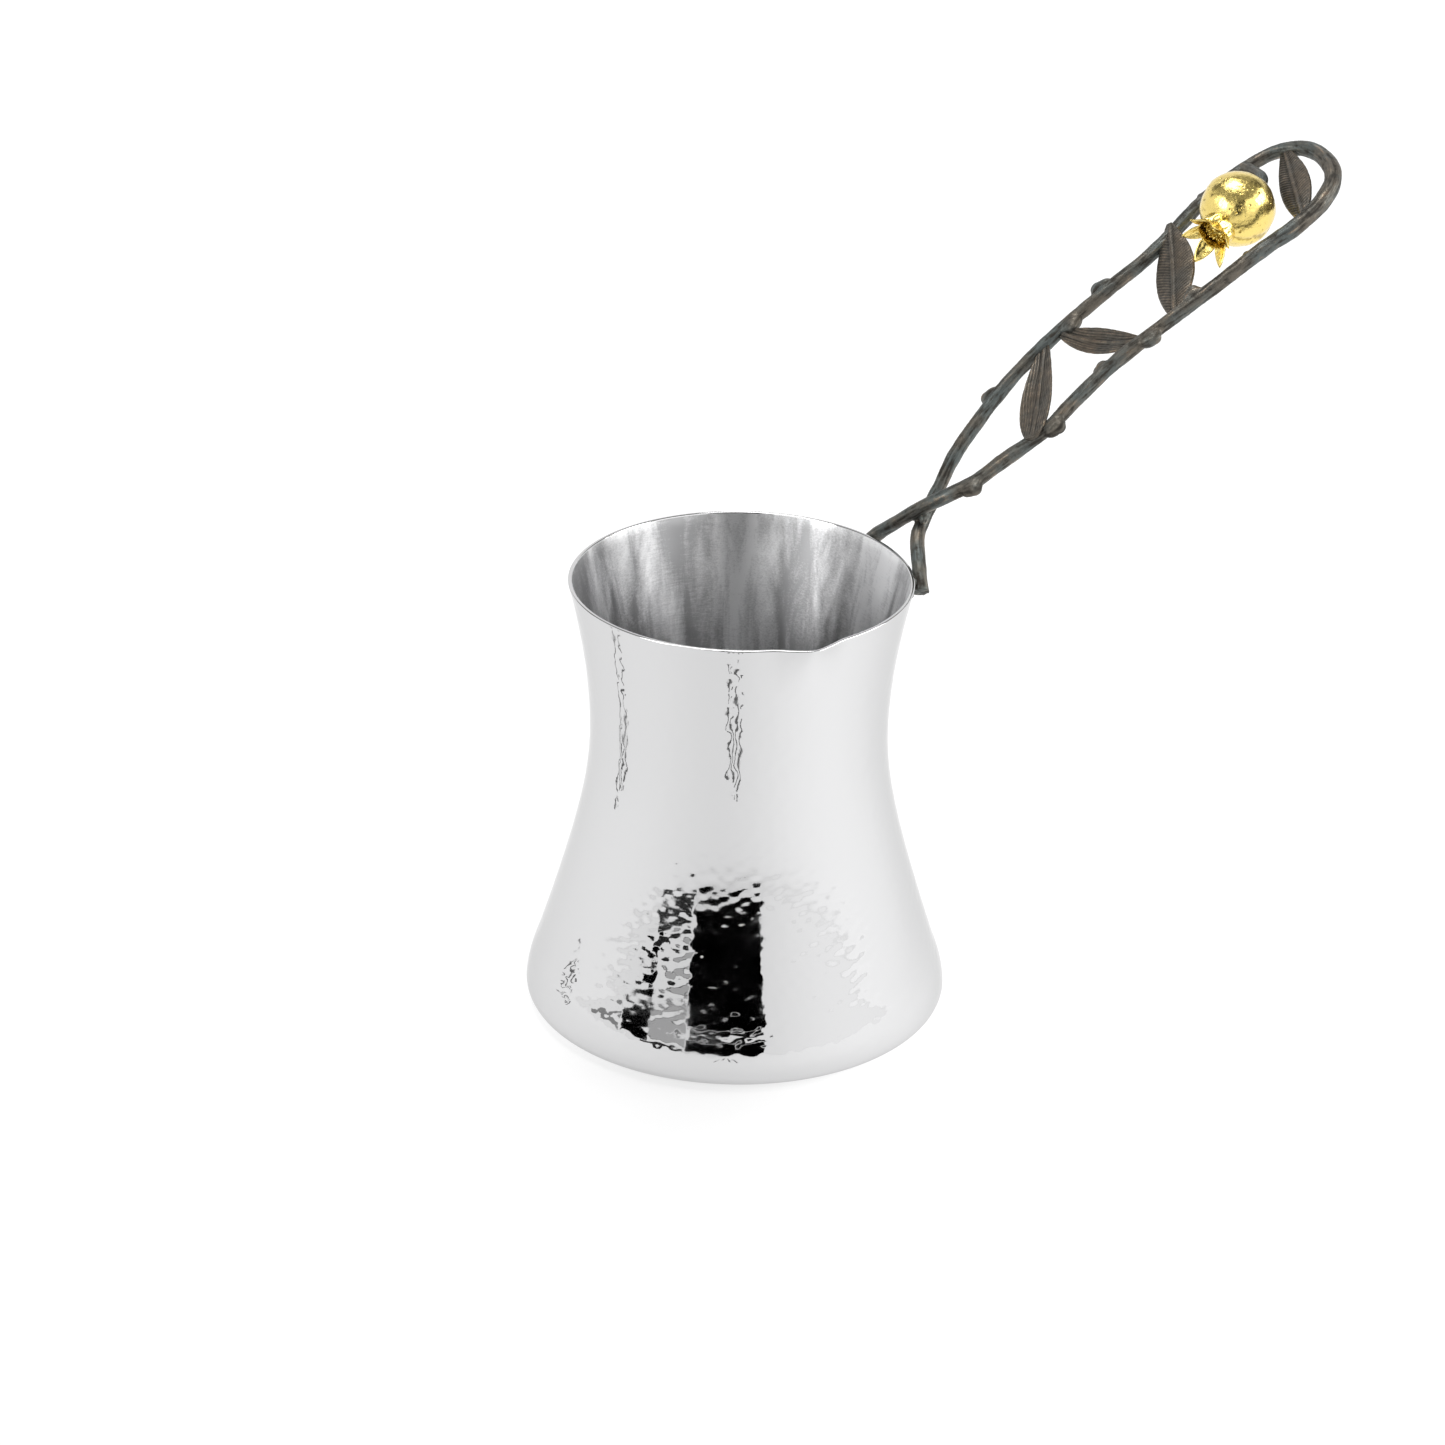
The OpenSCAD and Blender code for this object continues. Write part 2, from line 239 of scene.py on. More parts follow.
def dark_bronze(name, warm, cool):
    """Oxidised bronze: dark in the hollows, rubbed copper and tan on the high spots.

    Between them the patina wanders from the warm colour to the cool one.
    """
    n = Nodes(bpy.data.materials.new(name))
    relief = n.attribute("relief")
    cloud = n.noise(n.place(), 420, 5, 0.65)
    patch = n.noise(n.place(), 95, 3)
    grain = n.noise(n.place(), 2600, 4, 0.6)
    spread = n.math("MULTIPLY", n.math("SUBTRACT", cloud, 0.5), 1.5)
    lifted = n.math("ADD", relief, spread)
    middle = n.mix(n.ramp(patch, 0.38, 0.62), (*warm, 1), (*cool, 1))
    base = n.mix(n.ramp(lifted, -0.7, 0.1), (0.040, 0.036, 0.030, 1), middle)
    tan = n.mix(n.ramp(grain, 0.4, 0.6), (0.30, 0.19, 0.13, 1), (0.36, 0.30, 0.21, 1))
    rubbed = n.mix(n.ramp(lifted, 0.2, 1.1, 0.0, 0.8), base, tan)
    n.set(Metallic=0.8, Base_Color=rubbed, Roughness=n.ramp(lifted, -0.5, 0.9, 0.58, 0.36))
    n.set(Normal=n.bump(grain, 0.00004, 0.8, n.bump(cloud, 0.00014, 0.7)))
    return n.owner


def gilt():
    """Polished gold plate over a casting with small pits."""
    n = Nodes(bpy.data.materials.new("gilt"))
    pits = n.add("ShaderNodeTexVoronoi", {"Vector": n.place(), "Scale": 900.0, "Randomness": 1.0})
    where = n.noise(n.place(), 260, 3)
    hole = n.ramp(pits.outputs["Distance"], 0.0, 0.34, 1.0, 0.0)
    depth = n.math("MULTIPLY", hole, n.ramp(where, 0.5, 0.64))
    sand = n.noise(n.place(), 1900, 4, 0.6)
    relief = n.attribute("relief")
    # Where the relief is low, and in the pits, the gold goes dark: painted shade along the fruit's crease
    # and deep inside the crown.
    painted_shade_and_pits = n.math("SUBTRACT", relief, depth, clamp=True)
    tone = n.mix(n.ramp(painted_shade_and_pits, 0.0, 0.6), (0.38, 0.27, 0.06, 1), (0.83, 0.65, 0.21, 1))
    n.set(Metallic=1.0, Base_Color=tone, Roughness=n.ramp(sand, 0.3, 0.75, 0.16, 0.32))
    sandy = n.bump(sand, 0.00005, 0.8)
    pitted = n.add("ShaderNodeBump", {"Height": depth, "Distance": 0.00018, "Normal": sandy}, invert=True)
    n.set(Normal=pitted)
    return n.owner


# ---------- meshes ----------
def mesh_object(name, points, faces, materials, zones=None, relief=None, smooth=True):
    """A mesh piece from points in millimetres.

    zones gives the number of each face's material, and relief the height of each point: for its patina on
    the bronze, for painted shade on the gold.
    """
    mesh = bpy.data.meshes.new(name)
    mesh.from_pydata((np.asarray(points, float) * MM).tolist(), [], [list(f) for f in faces])
    for m in materials:
        mesh.materials.append(m)
    if zones is not None:
        mesh.polygons.foreach_set("material_index", np.asarray(zones, np.int32))
    mesh.polygons.foreach_set("use_smooth", np.full(len(mesh.polygons), smooth))
    mesh.update()
    obj = bpy.data.objects.new(name, mesh)
    bpy.context.scene.collection.objects.link(obj)
    if relief is not None:
        set_relief(obj, relief)
    return obj


def set_relief(obj, relief):
    layer = obj.data.attributes.new("relief", "FLOAT", "POINT")
    layer.data.foreach_set("value", np.asarray(relief, np.float32))


def stand_for(obj, slot, *nodes):
    """obj is the finished form of these CAD nodes."""
    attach(obj, "root")
    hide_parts(*nodes)
    return obj


def grid_faces(rows, columns, wrap_columns=True, wrap_rows=False):
    """Quads of a grid of points, numbered row by row."""
    i = np.arange(rows if wrap_rows else rows - 1)
    j = np.arange(columns if wrap_columns else columns - 1)
    a, b = np.meshgrid(i, j, indexing="ij")
    a, b = a.ravel(), b.ravel()
    up, right = (a + 1) % rows, (b + 1) % columns
    return np.stack([a * columns + b, a * columns + right, up * columns + right, up * columns + b], 1)


def points_of(obj):
    out = np.empty(len(obj.data.vertices) * 3)
    obj.data.vertices.foreach_get("co", out)
    return out.reshape(-1, 3) / MM


def normals_of(obj):
    out = np.empty(len(obj.data.vertices) * 3, np.float32)
    obj.data.vertex_normals.foreach_get("vector", out)
    return out.reshape(-1, 3).astype(float)


def move_points(obj, points):
    obj.data.vertices.foreach_set("co", (points * MM).ravel())
    obj.data.update()


def soft_noise(points, size, seed=0.0, octaves=3):
    """Smooth noise from about -1 to 1, with features of about size millimetres."""
    shift = Vector((seed * 17.3, seed * 5.1, seed * 29.7))
    scaled = np.asarray(points) / size
    return np.array([noise.fractal(Vector(p) + shift, 0.8, 2.1, octaves) for p in scaled])


def unit(v):
    v = np.asarray(v, float)
    return v / np.maximum(np.linalg.norm(v, axis=-1, keepdims=True), 1e-12)


def apply_modifiers(obj):
    """Bakes an object's modifiers into its mesh."""
    graph = bpy.context.evaluated_depsgraph_get()
    made = bpy.data.meshes.new_from_object(obj.evaluated_get(graph))
    obj.modifiers.clear()
    obj.data = made


def melt(obj, voxel, rounds=4):
    """Joins an object's overlapping closed shells into one smooth skin."""
    join = obj.modifiers.new("join", "REMESH")
    join.mode = "VOXEL"
    join.voxel_size = voxel * MM
    ease = obj.modifiers.new("ease", "SMOOTH")
    ease.factor, ease.iterations = 0.5, rounds
    apply_modifiers(obj)
    obj.data.polygons.foreach_set("use_smooth", np.full(len(obj.data.polygons), True))


def keep_in_box(points):
    """Points moved, if need be, onto the CAD model's box."""
    return np.clip(points, np.array(cad_box[0]) / MM, np.array(cad_box[1]) / MM)


# ---------- pot ----------
pot_low, pot_high = box_mm("pot_wall")
pot_h = pot_high[2]
base_r = -pot_low[0]
corner_x, wall_t = box_mm("pot_base")[1][0], box_mm("pot_base")[1][2]
corner_r = base_r - corner_x
waist_r, waist_z, rim_r = 31.8, 63.0, 36.5
lower_bend, upper_bend = 24.0, 40.0
lip_angle, lip_reach, lip_spread, lip_drop = -92.0, 3.0, 24.0, 14.0


def bend(u, length):
    return np.hypot(u, length) - length


lower_scale = (base_r - waist_r) / bend(waist_z - corner_r, lower_bend)
lean = math.atan(lower_scale * (waist_z - corner_r) / math.hypot(waist_z - corner_r, lower_bend))
corner_top_r = corner_x + corner_r * math.cos(lean)
corner_top_z = corner_r + corner_r * math.sin(lean)
lower_k = (corner_top_r - waist_r) / bend(waist_z - corner_top_z, lower_bend)
upper_k = (rim_r - waist_r) / bend(pot_h - waist_z, upper_bend)


def outer_r(z):
    u = np.asarray(z, float) - waist_z
    return waist_r + np.where(u < 0, lower_k * bend(u, lower_bend), upper_k * bend(u, upper_bend))


def wall_slope(z):
    u = np.asarray(z, float) - waist_z
    below = lower_k * u / np.hypot(u, lower_bend)
    return np.where(u < 0, below, upper_k * u / np.hypot(u, upper_bend))


# The skin near the base: height and how far the wall leans there, in degrees. It leans most just
# above the base and then rounds under.
FOOT_LEAN = ((4.0, 6.4), (9.6, 18.2), (11.4, 20.4), (14.0, 17.5))
foot_z = np.linspace(FOOT_LEAN[0][0], FOOT_LEAN[-1][0], 181)
foot_slope = np.tan(np.radians(np.interp(foot_z, *zip(*FOOT_LEAN))))
foot_steps = np.diff(foot_z) * (foot_slope[1:] + foot_slope[:-1]) / 2
foot_r = float(outer_r(foot_z[-1])) + np.concatenate([np.cumsum(foot_steps[::-1])[::-1], [0]])
round_r = foot_z[0] / (1 + math.sin(math.radians(FOOT_LEAN[0][1])))
round_x = foot_r[0] - round_r * math.cos(math.radians(FOOT_LEAN[0][1]))


def skin_r(z):
    return np.where(np.asarray(z) < foot_z[-1], np.interp(z, foot_z, foot_r), outer_r(z))


def skin_slope(z):
    return np.where(np.asarray(z) < foot_z[-1], -np.interp(z, foot_z, foot_slope), wall_slope(z))


# A hammer blow's width and height, the radius of its hollow, and how far it strays from its row
mark_w, mark_h, bowl = 3.0, 1.85, 46.0
stray_around, stray_along = 0.35, 0.3


def hammer_marks(around, along, girth):
    """Depth below the skin, in millimetres, left by rows of round hammer blows.

    around and along are distances on the skin, girth the distance all the way round at each point.
    """
    rng = np.random.default_rng(SEED)
    rows = int(along.max() / mark_h) + 4
    most = int(girth.max() / mark_w) + 4
    slip_x = rng.uniform(-stray_around, stray_around, (rows, most))
    slip_y = rng.uniform(-stray_along, stray_along, (rows, most))
    depth = rng.uniform(0.0, 1.0, (rows, most)) ** 1.5
    start = rng.uniform(0, 1, rows)
    nearest = []
    row = np.floor(along / mark_h).astype(int)
    for dr in (-1, 0, 1, 2):
        r = np.clip(row + dr, 0, rows - 1)
        count = np.maximum(8, np.round(girth / mark_w)).astype(int)
        width = girth / count
        at = around / width - start[r]
        for dc in (-1, 0, 1, 2):
            c = np.floor(at).astype(int) + dc
            k = np.mod(c, count)
            dx = (at - c - slip_x[r, k]) * width
            dy = along - (r - 0.5 + slip_y[r, k]) * mark_h
            nearest.append((dx**2 + dy**2) / (2 * bowl) - depth[r, k] * 0.35 * mark_h**2 / bowl)
    nearest = np.stack(nearest)
    ease = 0.12 * mark_h**2 / bowl
    low = nearest.min(0)
    return low - ease * np.log(np.exp(-(nearest - low) / ease).sum(0))


def lip_push(angle, z):
    """How far the pouring lip pushes the wall out, at an angle in degrees and a height."""
    up = np.clip((z - (pot_h - lip_drop)) / lip_drop, 0, 1)
    off = np.abs(np.mod(angle - lip_angle + 180, 360) - 180)
    point = 1 - np.sqrt((off / (lip_spread / 2)) ** 2 + 0.02 + 0.15 * (1 - up))
    edge = 0.10
    return lip_reach * up**1.6 * edge * np.logaddexp(0, point / edge)


def pot_profile():
    """Rows of the wall's outline from its foot, up the outside, over the rim and down the inside.

    Gives r, z, the outward direction's r and z, and each row's zone: 0 outside, 1 rim, 2 inside.
    """
    edge, first_lean = 0.3, FOOT_LEAN[0][1]

    def arc(x, y, radius, angles, zone, facing=1):
        for a in np.radians(angles):
            c, s = math.cos(a), math.sin(a)
            rows.append((x + radius * c, y + radius * s, facing * c, facing * s, zone))

    def wall(heights, offset, zone):
        for z in heights:
            k = float(skin_slope(z))
            long = math.hypot(1, k)
            way = -1 if offset else 1
            rows.append((float(skin_r(z)) - offset * long, z, way / long, -way * k / long, zone))

    rows = []
    arc(round_x, round_r, round_r, np.linspace(-90, first_lean, 9)[:-1], 0)
    wall(np.linspace(foot_z[0], pot_h - edge, 192), 0, 0)
    out_r, in_r = rows[-1][0], rows[-1][0] - wall_t
    arc(out_r - edge, pot_h - edge, edge, np.linspace(10, 80, 4), 1)
    arc(in_r + edge, pot_h - edge, edge, np.linspace(100, 170, 4), 1)
    wall(np.linspace(pot_h - edge, foot_z[0], 44), wall_t, 2)
    arc(round_x, round_r, round_r - wall_t, np.linspace(first_lean, -90, 7)[1:], 2, -1)
    return np.array(rows)


WALL_COLUMNS = 432
INNER_COLUMNS = 144


def wall_rows(profile, columns):
    """Points of the profile's rows turned round the pot, hammered and pushed out at the lip."""
    turn = np.arange(columns) * 2 * math.pi / columns
    r, z, nr, nz, zone = (profile[:, i][:, None] for i in range(5))
    along = np.concatenate([[0], np.cumsum(np.hypot(np.diff(r[:, 0]), np.diff(z[:, 0])))])[:, None]
    around = turn[None, :] * r
    along = np.broadcast_to(along, around.shape)
    girth = np.broadcast_to(2 * math.pi * r, around.shape)
    marks = hammer_marks(around.ravel(), along.ravel(), girth.ravel()).reshape(around.shape)
    top = np.clip((pot_h - z) / 1.5, 0, 1)
    foot = np.clip((z - 0.6) / 3.0, 0, 1)
    share = np.where(zone == 0, top * foot, np.where(zone == 2, 0.45 * top * foot, 0))
    marks = (marks - marks.max()) * share
    push = lip_push(np.degrees(turn)[None, :], z)
    rr = r + marks * nr + push
    zz = z + marks * nz
    return np.stack([rr * np.cos(turn), rr * np.sin(turn), zz], 2).reshape(-1, 3)


def pot_wall(outside, inside):
    profile = pot_profile()
    zone = profile[:, 4]
    outer, inner = profile[zone < 2], profile[zone == 2]
    a, b = wall_rows(outer, WALL_COLUMNS), wall_rows(inner, INNER_COLUMNS)
    faces = [grid_faces(len(outer), WALL_COLUMNS)]
    zones = [np.zeros(len(faces[0]), int)]
    low = grid_faces(len(inner), INNER_COLUMNS) + len(a)
    faces.append(low)
    zones.append(np.ones(len(low), int))
    ratio = WALL_COLUMNS // INNER_COLUMNS
    seams = []
    last, first = len(a) - WALL_COLUMNS, len(a)
    foot_out, foot_in = 0, len(a) + len(b) - INNER_COLUMNS
    for j in range(INNER_COLUMNS):
        nxt = (j + 1) % INNER_COLUMNS
        fine = [(j * ratio + k) % WALL_COLUMNS for k in range(ratio + 1)]
        seams.append([last + k for k in fine] + [first + nxt, first + j])
        seams.append([foot_in + j, foot_in + nxt] + [foot_out + k for k in reversed(fine)])
    all_faces = [list(f) for part in faces for f in part] + seams
    all_zones = np.concatenate(zones + [np.tile([1, 0], INNER_COLUMNS)])
    obj = mesh_object("pot_wall_hammered", np.concatenate([a, b]), all_faces, [outside, inside], all_zones)
    return stand_for(obj, "steel", "pot_wall")


def pot_base(outside, inside):
    """The bottom: a disc with spun rings inside, and its flat underside."""
    columns = 180
    radii = np.linspace(0.6, round_x, 46)
    turn = np.arange(columns) * 2 * math.pi / columns
    ripple = 0.02 * np.sin(radii * 2 * math.pi / 2.2) - 0.02
    ripple[-3:] = 0
    points, rows = [], 0
    for r in radii:
        points += [(r * math.cos(t), r * math.sin(t), 0.0) for t in turn]
        rows += 1
    for r, h in zip(radii[::-1], ripple[::-1]):
        points += [(r * math.cos(t), r * math.sin(t), wall_t + h) for t in turn]
        rows += 1
    quads = grid_faces(rows, columns)
    faces = [list(f) for f in quads]
    faces.append(list(range(columns))[::-1])
    faces.append(list(range((rows - 1) * columns, rows * columns)))
    zones = [0 if i // columns < len(radii) - 1 else 1 for i in range(len(quads))] + [0, 1]
    obj = mesh_object("pot_base_disc", points, faces, [outside, inside], zones)
    return stand_for(obj, "steel", "pot_base")


# ---------- handle ----------
handle_reach, handle_w, twig_d = 101.0, 29.0, 3.0
handle_lift, handle_tilt, handle_droop = 3.4, math.radians(43), 0.0023
foot_angle, foot_drop, foot_gap, foot_flare = 20.0, 4.0, 0.4, 0.4
bend_swell, swell_reach = 0.35, 4.0
twig_r = twig_d / 2
twig_up = np.array([-math.sin(handle_tilt), 0, math.cos(handle_tilt)])


def on_handle(reach_share, side_share, lift):
    out = handle_reach * reach_share / 100
    arch = handle_lift + math.tan(handle_tilt) * out - handle_droop * out * out
    return [rim_r + out, handle_w / 2 * side_share / 100, pot_h + arch + lift * twig_d]


def on_wall(angle, drop, extra):
    r = float(outer_r(pot_h - drop)) + twig_r + extra + foot_gap
    a = math.radians(angle)
    return [r * math.cos(a), r * math.sin(a), pot_h - drop]


near_route = [
    (2.6, 28, -0.2), (5.7, -8, 0.45), (9, -37, 0.65), (14, -52, 0.2), (20, -62, 0), (28, -83, 0),
    (35, -79, 0), (44, -77, 0), (52, -84, 0), (60, -91, 0), (68, -95, 0), (76, -95, 0),
    (84, -98, 0), (90, -88, 0), (95, -65, 0), (98.5, -26, 0),
]
far_route = [
    (100, 28, 0), (99, 70, 0), (95, 100, 0), (89, 109, 0), (83, 107, 0), (77, 100, 0),
    (70, 84, 0), (63, 74, 0), (54, 76, 0), (46, 78, 0), (38, 77, 0), (30, 71, 0),
    (22, 54, 0), (16, 40, -0.15), (12, 27, -0.65), (9, 17, -1.05), (6, 4, -1.25), (3.2, -20, -1),
]
twig_points = np.array(
    [on_wall(foot_angle, foot_drop, foot_flare), on_wall(foot_angle - 4, 0.5, 0)]
    + [on_handle(*p) for p in near_route + far_route]
    + [on_wall(5 - foot_angle, 1, 0), on_wall(-foot_angle, foot_drop, foot_flare)]
)
near_start, far_start = 2, 2 + len(near_route)
last_point = len(twig_points) - 1
swell_middle = far_start - 2.2


def curve_point(p, place):
    """Point on the smooth curve through p, counted in its points."""
    i = min(int(place), len(p) - 2)
    t = place - i
    a, b, c, d = (p[max(0, min(len(p) - 1, k))] for k in (i - 1, i, i + 1, i + 2))
    return (
        2 * b + (c - a) * t + (2 * a - 5 * b + 4 * c - d) * t**2 + (3 * b - a - 3 * c + d) * t**3
    ) / 2


def curve(p, steps):
    return np.array([curve_point(p, k / steps) for k in range((len(p) - 1) * steps + 1)])


def twig_at(place):
    return curve_point(twig_points, place)


def frames(path):
    """Unit directions along, to the side of and over a path."""
    along = unit(np.gradient(path, axis=0))
    side = unit(np.cross(along, twig_up))
    return along, side, np.cross(side, along)


def tube(path, radii, sides):
    """Points and faces of a closed tube round a path."""
    _, side, up = frames(path)
    turn = np.arange(sides) * 2 * math.pi / sides
    radii = np.broadcast_to(radii, len(path))[:, None, None]
    ring = side[:, None] * np.cos(turn)[None, :, None] + up[:, None] * np.sin(turn)[None, :, None]
    points = (path[:, None] + radii * ring).reshape(-1, 3)
    faces = [list(f) for f in grid_faces(len(path), sides)]
    faces.append(list(range(sides))[::-1])
    faces.append(list(range((len(path) - 1) * sides, len(path) * sides)))
    return points, faces


def gather(shells):
    """Several closed shells as one list of points and faces."""
    points, faces, n = [], [], 0
    for p, f in shells:
        points.append(np.asarray(p))
        faces += [[k + n for k in face] for face in f]
        n += len(p)
    return np.concatenate(points), faces


# Buds: place on the twig, turn from the loop's outer side to over the twig, and size
buds = [
    (4.8, 0, 1.15), (7.15, 0, 1.2), (8.75, 180, 1.05), (9.9, 5, 1.15), (11.2, 150, 1.1), (12.7, 165, 0.75),
    (22.6, 0, 0.8), (26.05, 0, 1.3), (27.1, 180, 1.15), (29.35, 0, 1.15),
]


def bud(place, turn, size):
    """A round mound on the twig's side with a smaller knob on top, leaning towards its tip."""
    middle = twig_at(place)
    along = unit(twig_at(place + 0.05) - middle)
    side = unit(np.cross(along, twig_up))
    up = np.cross(side, along)
    a = math.radians(turn)
    way = side * math.cos(a) + up * math.sin(a)
    cross = np.cross(along, way)
    axes = (along, cross, way)
    mound = blob(middle + way * 1.1 * size, axes, (2.3 * size, 1.4 * size, 1.6 * size), 20, 12)
    tip = middle + way * 2.05 * size + along * 0.5 * size
    knob = blob(tip, axes, (1.35 * size, 1.15 * size, 1.1 * size), 16, 10)
    return [mound, knob]


def bark(obj, path, seed, depth):
    """Cuts lengthwise bark grooves into a twig's skin, and notes their height for the patina."""
    points, normals = points_of(obj), normals_of(obj)
    along, side, up = frames(path)
    length = np.concatenate([[0], np.cumsum(np.linalg.norm(np.diff(path, axis=0), axis=1))])
    nearest = np.empty(len(points), int)
    for first in range(0, len(points), 4000):
        d = points[first : first + 4000, None] - path[None]
        nearest[first : first + 4000] = (d * d).sum(2).argmin(1)
    off = points - path[nearest]
    x, y = (off * side[nearest]).sum(1), (off * up[nearest]).sum(1)
    turn = np.arctan2(y, x)
    s = length[nearest] + (off * along[nearest]).sum(1)
    ring = np.stack([np.cos(turn), np.sin(turn)], 1)
    grooves = soft_noise(np.column_stack([ring * 2.6, s * 0.16]), 1.0, seed, 3)
    fine = soft_noise(np.column_stack([ring * 6.0, s * 0.45]), 1.0, seed + 1, 2)
    lumps = soft_noise(points, 7.0, seed + 2, 2)
    scars = soft_noise(np.column_stack([ring * 0.9, s * 0.75]), 1.0, seed + 3, 2)
    height = 0.75 * grooves + 0.35 * fine + 0.35 * np.minimum(scars, 0)
    move_points(obj, keep_in_box(points + normals * (depth * height + 0.08 * lumps)[:, None]))
    set_relief(obj, np.clip(height * 1.1 + 0.15 * lumps, -1, 1))


def handle_twig(metal):
    steps = 24
    path = curve(twig_points, steps)
    n = len(path)
    from_end = np.minimum(np.arange(n), n - 1 - np.arange(n)) / steps
    place = np.arange(n) / steps
    swell = np.array([noise.fractal(Vector((p * 0.8, 3.1, 0)), 0.8, 2.2, 3) for p in place])
    off_swell = (place - swell_middle) / swell_reach
    radii = twig_r * (1.03 + 0.09 * swell) + foot_flare * np.maximum(0, 1 - from_end) ** 1.5
    radii = radii + bend_swell * np.maximum(0, 1 - off_swell**2)
    shells = [tube(path, radii, 20)] + [shell for b in buds for shell in bud(*b)]
    points, faces = gather(shells)
    obj = mesh_object("handle_twig_bark", points, faces, [metal])
    melt(obj, 0.26, 3)
    bark(obj, path, 2.0, 0.13)
    return stand_for(obj, "bronze", "handle_twig")


def blob(centre, axes, sizes, segments=24, rings=14):
    """An ellipsoid's points and faces."""
    points = [centre + axes[2] * sizes[2]]
    for i in range(1, rings):
        a = math.pi * i / rings
        for k in range(segments):
            t = 2 * math.pi * k / segments
            points.append(
                centre
                + axes[0] * sizes[0] * math.sin(a) * math.cos(t)
                + axes[1] * sizes[1] * math.sin(a) * math.sin(t)
                + axes[2] * sizes[2] * math.cos(a)
            )
    points.append(centre - axes[2] * sizes[2])
    faces = [[0, 1 + k, 1 + (k + 1) % segments] for k in range(segments)]
    faces += [[f[0] + 1, f[3] + 1, f[2] + 1, f[1] + 1] for f in grid_faces(rings - 1, segments)]
    end = len(points) - 1
    low = 1 + (rings - 2) * segments
    faces += [[end, low + (k + 1) % segments, low + k] for k in range(segments)]
    return np.array(points), faces


def rough_skin(obj, size, depth, seed, wear=0.0):
    """Gives a casting an uneven skin, and notes its height for the patina."""
    points, normals = points_of(obj), normals_of(obj)
    height = soft_noise(points, size, seed, 3)
    move_points(obj, keep_in_box(points + normals * (depth * height)[:, None]))
    set_relief(obj, np.clip(height + wear, -1, 1))


def foot_braze(name, node, angle, metal):
    """Braze drawn into the corner between a foot of the twig and the wall."""
    a = math.radians(angle)
    out = np.array([math.cos(a), math.sin(a), 0])
    round_pot = np.array([-math.sin(a), math.cos(a), 0])
    seat = float(outer_r(pot_h - foot_drop))
    shells = []
    for low, wide in ((-0.4, 1.0), (0.9, 0.86), (2.2, 0.7)):
        z = pot_h - foot_drop + low
        centre = out * (float(outer_r(z)) + 0.35) + np.array([0, 0, z])
        shells.append(blob(centre, (out, round_pot, np.array([0, 0, 1.0])), (0.75, 1.9 * wide, 1.2)))
    points, faces = gather(shells)
    obj = mesh_object(name, points, faces, [metal])
    melt(obj, 0.2, 3)
    rough_skin(obj, 1.2, 0.05, seat, -0.1)
    return stand_for(obj, "bronze", node)


def crossing_braze(metal):
    """The web of metal that fills the corner where the twig crosses itself."""
    near, far = twig_points[near_start + 1], twig_points[last_point - 3]
    middle = (near + far) / 2
    across = unit(near - far)
    along = unit(twig_points[last_point - 1] - twig_points[last_point - 3])
    other = np.cross(across, along)
    shells = [blob(middle, (along, other, across), (1.5, 1.3, 1.3))]
    shells.append(blob(middle + along * 1.0, (along, other, across), (1.5, 0.9, 1.0)))
    points, faces = gather(shells)
    obj = mesh_object("braze_crossing_web", points, faces, [metal])
    melt(obj, 0.2, 3)
    rough_skin(obj, 1.2, 0.05, 5.0)
    return stand_for(obj, "bronze", "braze_crossing")


